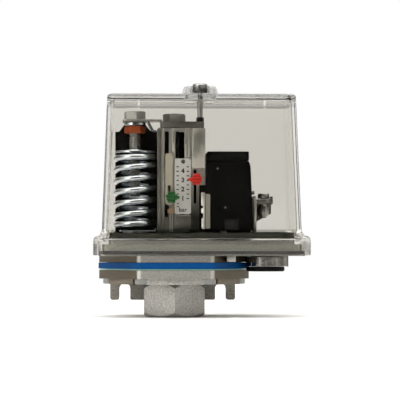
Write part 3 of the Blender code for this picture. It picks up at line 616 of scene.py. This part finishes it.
def hex_solid(name, x, y, flats, low, high, turn=0.0, hole=0.0, crown=("top",), samples=14):
    """A hexagon head or nut whose chamfer cuts the flats in arcs, with a hole if it is a nut."""
    bm = bmesh.new()
    flat = flats / 2
    rings = {"low_in": [], "low": [], "high": [], "high_in": []}
    for i in range(6 * samples):
        angle = math.tau * i / (6 * samples)
        side = (angle + math.pi / 6) % (math.pi / 3) - math.pi / 6
        reach = flat / math.cos(side)
        drop = (reach - flat * 0.96) * 0.5
        turned_angle = angle + turn
        direction = (math.cos(turned_angle), math.sin(turned_angle))
        levels = {
            "low": (reach, low + (drop if "bottom" in crown else 0)),
            "high": (reach, high - (drop if "top" in crown else 0)),
            "low_in": (flat * 0.96 if "bottom" in crown else reach * 0.995, low),
            "high_in": (flat * 0.96 if "top" in crown else reach * 0.995, high),
        }
        for key, (radius, z) in levels.items():
            rings[key].append(
                bm.verts.new(Vector((x + radius * direction[0], y + radius * direction[1], z)) * MM)
            )
        if hole:
            for key, z, radius in (("hole_low", low, hole), ("hole_high", high, hole)):
                point = Vector((x + radius * direction[0], y + radius * direction[1], z)) * MM
                rings.setdefault(key, []).append(bm.verts.new(point))
    order = ["low_in", "low", "high", "high_in"]
    if hole:
        order = ["hole_low", *order, "hole_high", "hole_low"]
    for first, second in zip(order, order[1:]):
        lower = rings[first]
        upper = rings[second]
        for i in range(6 * samples):
            bm.faces.new((lower[i - 1], lower[i], upper[i], upper[i - 1]))
    if not hole:
        bm.faces.new(rings["low_in"])
        bm.faces.new(rings["high_in"])
    return finish_mesh(name, bm, 18)


def body_of(node):
    return next(name for name, nodes in frame["record"]["behaviour"]["bodies"].items() if node in nodes)


def slot_of(node):
    return next(row["material_slot"] for row in frame["record"]["subparts"] if row["node"] == node)


# which of the hood's plastics a face shows, by height and reach in metres and by direction
HOOD_PLASTICS = (
    "clear_plastic", "frosted_plastic", "satin_plastic", "edge_plastic", "shoulder_plastic", "end_plastic",
)
SKIRT_TOP = 0.0395
SHOULDER_TOP = 0.0437
SHOULDER_END = (0.044, 0.022)
ROOF_RIM_FOOT = 0.1079
BOSS_FOOT = 0.1095
BOSS_RADIUS = 0.0105
LEVEL = 0.97
ENDWAYS = 0.9


def make_hood():
    """The clear moulding: skirt, rolled shoulder, drafted walls, soft roof edge and screw boss."""
    top = 111.6
    outer = [
        (31.0, 53.75, 32.75, 5.3), (31.25, 54.0, 33.0, 5.5), (38.2, 54.0, 33.0, 5.5),
        (39.2, 53.9, 32.9, 5.4), (39.9, 53.55, 32.55, 5.2), (40.4, 52.9, 31.9, 4.9),
        (40.7, 52.2, 31.2, 4.6), (40.95, 51.6, 30.6, 4.4), (41.3, 51.0, 30.0, 4.2), (41.9, 50.4, 29.4, 4.0),
        (42.8, 50.0, 29.0, 4.0), (43.9, 49.7, 28.7, 4.0), (107.6, 47.3, 26.3, 4.0),
        (109.9, 47.2, 26.2, 4.0), (110.5, 47.1, 26.1, 3.9), (111.0, 46.8, 25.8, 3.6),
        (111.35, 46.4, 25.4, 3.3), (111.55, 45.9, 24.9, 2.8), (top, 45.4, 24.4, 2.4),
    ]
    hood = lofted("hood_shell", outer)
    inner = [
        (30.0, 51.6, 30.6, 3.2), (37.0, 51.6, 30.6, 3.2), (37.9, 51.4, 30.4, 3.0), (38.5, 50.8, 29.8, 2.7),
        (38.9, 49.8, 28.8, 2.4), (39.2, 48.5, 27.5, 2.1), (39.9, 47.7, 26.7, 2.0), (41.4, 47.4, 26.4, 2.0),
        (43.9, 47.3, 26.3, 2.0), (106.4, 44.85, 23.85, 2.0), (107.6, 44.7, 23.7, 1.9),
        (108.4, 44.2, 23.2, 1.6), (108.8, 43.4, 22.4, 1.2),
    ]
    boss = turned(
        "boss",
        [
            (0, 116.9), (7.9, 116.9), (8.3, 116.75), (8.5, 116.4), (9.6, 111.7), (10.2, 111.2),
            (10.2, 110.0), (0, 110.0),
        ],
        0, 0, 96,
    )
    boolean(hood, boss, "UNION")
    boolean(hood, lofted("inside", inner), "DIFFERENCE")
    hollow = [
        (0, 111.7), (5.1, 111.7), (5.3, 111.9), (5.3, 115.6), (5.5, 115.8), (7.1, 115.8), (7.4, 115.5),
        (8.1, 110.4), (8.4, 109.4), (8.8, 108.0), (8.8, 107.0), (0, 107.0),
    ]
    boolean(hood, turned("hollow", hollow, 0, 0, 96), "DIFFERENCE")
    for x in (-31.4, 31.4):
        boolean(
            hood, bevelled(brick("rib", (x - 0.6, -24.4, 104.4), (x + 0.6, -22.9, 109.6)), 0.3), "UNION"
        )
    hole = [
        (0, 117.8), (4.7, 117.8), (4.3, 116.6), (4.3, 113.3), (4.0, 113.1), (1.7, 113.1), (1.7, 100),
        (0, 100),
    ]
    boolean(hood, turned("hole", hole, 0, 0, 64), "DIFFERENCE")
    shaded(hood, 40)
    weights = hood.modifiers.new("normals", "WEIGHTED_NORMAL")
    weights.keep_sharp = True
    place_piece(hood, "clear_plastic", "hood", "cover")
    for plastic in HOOD_PLASTICS[1:]:
        hood.data.materials.append(MATERIALS[plastic])
    for face in hood.data.polygons:
        face.material_index = HOOD_PLASTICS.index(hood_plastic(face))


def hood_plastic(face):
    """The plastic that a face of the hood shows."""
    x, y, z = face.center
    if z < SKIRT_TOP:
        return "satin_plastic"
    if z < SHOULDER_TOP:
        between_corners = abs(x) < SHOULDER_END[0] or abs(y) < SHOULDER_END[1]
        return "shoulder_plastic" if between_corners else "clear_plastic"
    if math.hypot(x, y) < BOSS_RADIUS:
        return "frosted_plastic" if z > BOSS_FOOT else "clear_plastic"
    if z > ROOF_RIM_FOOT and abs(face.normal.z) < LEVEL:
        return "edge_plastic"
    return "end_plastic" if abs(face.normal.x) > ENDWAYS else "clear_plastic"


def make_hood_screw():
    head = [
        (0, 118.5), (2.9, 118.5), (3.5, 118.25), (3.8, 117.8), (3.85, 117.2), (3.85, 114.0), (3.5, 113.45),
        (1.5, 113.3), (1.35, 101.4), (1.2, 101.2), (1.2, 96.9), (0.7, 96.2), (0, 96.1),
    ]
    screw = turned("hood_screw_fine", head, 0, 0, 72)
    boolean(screw, brick("slot", (-5, -0.5, 116.9), (5, 0.5, 120)), "DIFFERENCE")
    place_piece(shaded(screw), "zinc_steel", "hood_screw", "cover_screw")
    ring = [(1.3, 101.3), (1.75, 101.2), (2.0, 100.6), (2.0, 99.7), (1.75, 99.1), (1.3, 99.0)]
    place_piece(turned("hood_screw_retainer", ring, 0, 0, 48), "rubber", "hood_screw", "screw_retainer")


def make_springs():
    low = 46.4
    high = 80.95
    spring = coil_mesh("main_spring_wire", RANGE_X, 0, 9.3, 1.65, low, high, 6.6)
    spring.data.materials.append(MATERIALS["bright_steel"])
    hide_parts("main_spring")
    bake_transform(spring)
    fine = coil_mesh("fine_spring_wire", PORT_X, 0, 4.7, 0.8, 47.2, 73.0, 6.75, 32, 10)
    fine.data.materials.append(MATERIALS["zinc_steel"])
    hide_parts("differential_spring")
    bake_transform(fine)


def make_range_screw():
    head = hex_solid("range_screw_head", RANGE_X, 0, 10.0, 100.0, 104.0, 0.157)
    place_piece(head, "nut_steel", "range_screw", "main_adjusting_screw")
    thread = thread_mesh("range_screw_thread", RANGE_X, 0, 2.9, 2.4, 1.0, 62.0, 100.1)
    place_piece(thread, "zinc_steel", "range_screw")
    collar = [(3.2, 98.5), (5.2, 98.5), (5.5, 98.25), (5.5, 97.15), (5.2, 96.9), (3.2, 96.9)]
    place_piece(turned("range_collar", collar, RANGE_X, 0), "bright_steel", "range_screw", "main_collar")
    nut = hex_solid("range_lock_nut", RANGE_X, 0, 9.2, 92.8, 96.6, math.pi / 6, 2.95, ("top", "bottom"))
    place_piece(nut, "orange_copper", "range_screw", "main_lock_nut")
    disc = [
        (3.1, 84.6), (4.4, 84.6), (4.6, 84.4), (4.7, 83.95), (10.2, 83.9), (10.4, 83.7), (10.4, 83.1),
        (10.2, 82.9), (3.1, 82.9),
    ]
    place_piece(
        turned("range_spring_plate", disc, RANGE_X, 0, 80), "bright_steel", "range_plate",
        "main_spring_plate",
    )


def make_fine_screw():
    head = hex_solid("fine_screw_head", PORT_X, 0, 10.0, 98.8, 102.9, 0.61)
    place_piece(head, "nut_steel", "fine_screw", "differential_screw")
    thread = thread_mesh("fine_screw_thread", PORT_X, 0, 2.6, 2.1, 1.0, 62.0, 98.9)
    place_piece(thread, "zinc_steel", "fine_screw")


def make_bolts():
    for node in sorted(name for name in frame["nodes"] if name.startswith("flange_bolt_")):
        low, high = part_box(node)
        x = (low.x + high.x) / 2 / MM
        y = (low.y + high.y) / 2 / MM
        bottom = low.z / MM
        head = hex_solid(node + "_head", x, y, 7.0, bottom, bottom + 2.5, math.pi / 6, 0, ("bottom",), 10)
        place_piece(head, "nut_steel", "base", node)
        shank = turned(
            node + "_shank", [(0, 33.0), (1.6, 33.0), (2.0, 32.6), (2.0, bottom + 2.4), (0, bottom + 2.4)],
            x, y, 24,
        )
        place_piece(shank, "zinc_steel", "base")


def make_scale():
    refined("scale_plate", "scale_white", "base", 0.14)
    ticks = []
    for i in range(8):
        z = 75.55 - 2.29 * i
        for x in (-12.35, -7.25):
            ticks.append(brick("tick", (x, -11.84, z - 0.26), (x + 1.25, -11.7, z + 0.26)))
    for z in (56.9, 55.5):
        ticks.append(brick("tick", (-12.2, -11.84, z - 0.24), (-11.1, -11.7, z + 0.24)))
    place_piece(joined("scale_ticks", ticks), "scale_ink", "base")
    rows = [("4", 72.4, 2.6), ("3", 67.8, 2.6), ("2", 63.2, 2.6), ("1", 58.6, 2.6), ("bar", 52.9, 2.5)]
    for text, z, size in rows:
        curve = bpy.data.curves.new("numeral", "FONT")
        curve.body = text
        curve.size = size * MM * 1.25
        curve.align_x = "CENTER"
        curve.extrude = 0.00004
        curve.offset = 0.00013 if len(text) == 1 else 0.00005
        guide = bpy.data.objects.new("numeral_" + text, curve)
        bpy.context.scene.collection.objects.link(guide)
        guide.rotation_euler = (math.pi / 2, 0, 0)
        guide.location = Vector((-9.1, -11.8, z)) * MM
        bpy.context.view_layer.update()
        mesh = bpy.data.meshes.new_from_object(guide.evaluated_get(bpy.context.evaluated_depsgraph_get()))
        mesh.transform(guide.matrix_world)
        bpy.data.objects.remove(guide)
        figure = bpy.data.objects.new("figure_" + text, mesh)
        bpy.context.scene.collection.objects.link(figure)
        place_piece(figure, "scale_ink", "base")


def make_pointer(name, node, knob_x, tip, z, slot, body, direction, peg, peg_end):
    """A round knob with ribs across its front, a pointed tongue and a peg into the slide behind."""
    half = 3.15
    knob_x += direction * 0.45
    shapes = []
    for i in range(4):
        level = 1.5 * (i - 1.5)
        wide = 0.88 * math.sqrt(half * half - level * level)
        low = (knob_x - wide, -17.0 + 0.1 * abs(i - 1.5), z + level - 0.55)
        shapes.append(bevelled(brick("rib", low, (knob_x + wide, -15.4, z + level + 0.55)), 0.3))
    disc = []
    for step in range(40):
        angle = step * math.tau / 40
        disc.append((knob_x + 2.45 * math.cos(angle), z + 2.8 * math.sin(angle)))
    shapes.append(bevelled(slab("core", disc, -16.1, -14.6, "Y"), 0.3))
    root = knob_x + direction * 2.2
    tongue = [
        (root, z - 1.5), (root + direction * 1.2, z - 0.75), (tip - direction * 0.5, z - 0.3), (tip, z)
    ]
    tongue += [(x, 2 * z - level) for x, level in reversed(tongue[:-1])]
    shapes.append(bevelled(slab("tongue", tongue, -16.3, -14.5, "Y"), 0.3))
    stem = [
        (peg + 0.45 * math.cos(a * math.tau / 20), z + 0.45 * math.sin(a * math.tau / 20))
        for a in range(20)
    ]
    shapes.append(slab("stem", stem, -14.8, peg_end, "Y"))
    place_piece(joined(name, shapes), slot, body, node)


def make_pointers():
    make_pointer(
        "range_pointer_fine", "red_pointer", -1.9, -7.2, 69.1, "red_plastic", "range_pointer", -1, -2.9,
        -9.6,
    )
    make_pointer(
        "fine_pointer_fine", "green_pointer", -15.4, -10.4, 60.1, "green_plastic", "fine_pointer", 1, -16.0,
        -11.1,
    )


def make_frame_details():
    """Raised ribs, the smooth guide block and rods at the foot, and the strap's turned-down end."""
    ribs = [
        (-19.15, -18.45, 43.2, 94.8, 0.3), (-14.5, -13.1, 83.2, 94.8, 0.5),
        (-8.2, -7.2, 80.4, 94.8, 0.4), (-6.6, -5.6, 80.4, 94.8, 0.4), (-4.4, 2.2, 74.8, 94.9, 0.5),
    ]
    shapes = [
        bevelled(brick("rib", (a, -10.65 - rise, c), (b, -10.5, d)), 0.15) for a, b, c, d, rise in ribs
    ]
    place_piece(joined("frame_ribs", shapes), "frame_steel", "base")
    post = bevelled(brick("post", (-21.9, -11.1, 43.2), (-20.0, -10.5, 94.8)), 0.3)
    place_piece(joined("frame_left_post", [post]), "dark_steel", "base")
    block = bevelled(brick("guide_block", (-13.4, -12.6, 44.0), (-5.0, -10.7, 51.4)), 0.5)
    place_piece(joined("guide_block", [block]), "dark_steel", "base")
    # A black sheet between the block's back legs: painted shade that keeps the gap under the block dark.
    shade_sheet = brick("shade_sheet", (2.6, 9.6, 37.5), (26.8, 11.4, 43.6))
    place_piece(joined("painted_shade_behind_block", [shade_sheet]), "black_plastic", "base")
    place_piece(
        joined("block_window", [brick("window", (12.0, -11.6, 43.5), (19.2, -11.2, 49.5))]), "rubber",
        "base",
    )
    # A black strip behind the rail's slot: painted shadow.
    place_piece(
        joined("rail_slot_painted_shadow", [brick("dark", (-17.0, -11.0, 57.4), (-15.0, -10.65, 66.4))]), "rubber",
        "base",
    )
    rods = []
    for x in (-15.5, -14.4):
        rods.append(turned("rod", [(0, 52.0), (0.35, 51.8), (0.35, 42.6), (0, 42.4)], x, -12.0, 16))
    place_piece(joined("guide_rods", rods), "zinc_steel", "base")
    bend = [
        (-27.6, 99.7), (-27.2, 98.9), (-24.3, 93.6), (-21.95, 93.2), (-21.95, 94.1), (-23.7, 94.4),
        (-26.6, 99.7),
    ]
    place_piece(bevelled(slab("strap_bend", bend, -7.0, 7.0, "Y"), 0.1), "bright_steel", "base")


def make_contact_details():
    """The bright leaf and the grey one behind it, and rivets on the block."""
    points = [
        (0.2, 44.6), (1.2, 44.1), (2.0, 44.1), (2.0, 62.2), (1.6, 62.6), (0.0, 62.6), (0.0, 56.0),
        (1.0, 55.8), (1.0, 54.8), (0.0, 54.4), (0.0, 52.4), (1.0, 51.8), (1.0, 49.6), (0.2, 49.4),
    ]
    leaf = bevelled(slab("leaf", points, -14.1, -13.5, "Y"), 0.12, 2)
    place_piece(joined("contact_leaf", [leaf]), "contact_tin", "base", "contact_strip")
    grey = [(2.3, 44.4), (4.6, 44.4), (4.6, 61.6), (2.3, 61.9)]
    place_piece(
        bevelled(slab("contact_spring_leaf", grey, -13.9, -13.3, "Y"), 0.12, 2), "contact_grey", "base"
    )
    for i, (x, z) in enumerate(((12.3, 55.0), (8.4, 74.6))):
        profile = [(0, 0.0), (0.55, 0.02), (0.5, 0.25), (0.3, 0.4), (0, 0.45)]
        rivet = turned(f"block_rivet_{i}", profile, 0, 0, 24)
        rivet.data.transform(
            Matrix.Translation(Vector((x, -12.95, z)) * MM) @ Matrix.Rotation(math.pi / 2, 4, "X")
        )
        place_piece(rivet, "dark_steel", "base")


def make_earth_details():
    """The bright leg's face, a stud on the block beside it and the clamp nut on the screw."""
    leg = bevelled(brick("earth_leg_face", (26.85, -6.6, 41.0), (28.4, -6.2, 61.1)), 0.12)
    place_piece(joined("earth_leg_face", [leg]), "contact_tin", "base")
    stud = turned("block_stud", [(0, 0.0), (0.8, 0.05), (0.95, 0.3), (0.95, 1.6), (0, 1.6)], 0, 0, 24)
    turn = Matrix.Translation(Vector((27.2, -9.0, 62.6)) * MM) @ Matrix.Rotation(-math.pi / 2, 4, "Y")
    stud.data.transform(turn)
    place_piece(stud, "dark_steel", "base")
    nut = [(1.75, 55.6), (2.6, 55.6), (2.75, 55.3), (2.75, 51.6), (2.6, 51.3), (1.75, 51.3)]
    place_piece(turned("earth_clamp_nut", nut, 32.4, 0, 48), "zinc_steel", "earth_screw")


def make_port():
    """The port casting, with the open end of its hexagon rounded off."""
    reach = [
        (0, 60), (70, 60), (70, 2.4), (17.7, 2.3), (17.0, 1.7), (16.2, 1.2), (15.25, 0.6), (14.6, 0.15),
        (13.9, -0.01), (0, -0.01),
    ]
    refined("pressure_port", "cast_port", "base", 0.6, limit=turned("reach", reach, PORT_X, 0, 96))


def make_base_details():
    """Cast ribs beside the gland and under the ledge, and flutes round the gland."""
    ribs = []
    for x in (38.2, 41.0, 43.9):
        ribs.append(turned("rib", [(0, 30.4), (0.7, 30.4), (0.8, 25.4), (0, 25.3)], x, 4.1, 20))
    ribs.append(bevelled(brick("rib", (12.3, -26.6, 27.7), (16.9, -12.0, 30.9)), 0.5))
    place_piece(joined("base_ribs", ribs), "cast_alloy", "base")
    flutes = []
    for i in range(14):
        angle = math.tau * (i + 0.5) / 14
        x = 32.8 + 9.3 * math.cos(angle)
        y = -8.0 + 9.3 * math.sin(angle)
        flutes.append(turned("flute", [(0, 30.0), (0.6, 29.8), (0.75, 25.7), (0, 25.5)], x, y, 16))
    place_piece(joined("gland_flutes", flutes), "gland_metal", "base")


BEVELS = {
    "base_casting": 0.6, "spacer_ring": 0.35, "spring_frame": 0.3, "frame_top_plate": 0.35,
    "contact_block_housing": 0.7, "contact_block_cap": 0.6, "slider_rail": 0.25, "earth_bracket": 0.25,
    "back_shield": 0.25, "top_strap": 0.15, "diaphragm": 0.1, "rail_stop": 0.2, "main_spring_tray": 0.15,
    "cover_gasket": 0.3, "rocker_lever": 0.3,
}
LOOKS = {"gland_body": "gland_metal", "rail_stop": "pale_copper", "base_casting": "cast_tray"}
MADE = {
    "cover", "cover_screw", "screw_retainer", "main_spring", "differential_spring", "main_adjusting_screw",
    "main_collar", "main_lock_nut", "main_spring_plate", "differential_screw", "scale_plate", "red_pointer",
    "green_pointer", "contact_strip", "pressure_port",
}


def refine_the_rest():
    """Every other node is its CAD shape again, with rounded edges and its finish."""
    done = MADE | {name for name in frame["nodes"] if name.startswith("flange_bolt_")}
    for node in sorted(set(frame["nodes"]) - done):
        slot = LOOKS.get(node, slot_of(node))
        refined(node, slot, body_of(node), BEVELS.get(node, 0.18))


MATERIALS = make_materials()

make_camera()
make_world()
make_floor()
add_light("key", **KEY_LIGHT)
add_light("top", **TOP_LIGHT)
make_hood()
make_hood_screw()
make_springs()
make_range_screw()
make_fine_screw()
make_bolts()
make_scale()
make_pointers()
make_frame_details()
make_contact_details()
make_earth_details()
make_port()
make_base_details()
refine_the_rest()
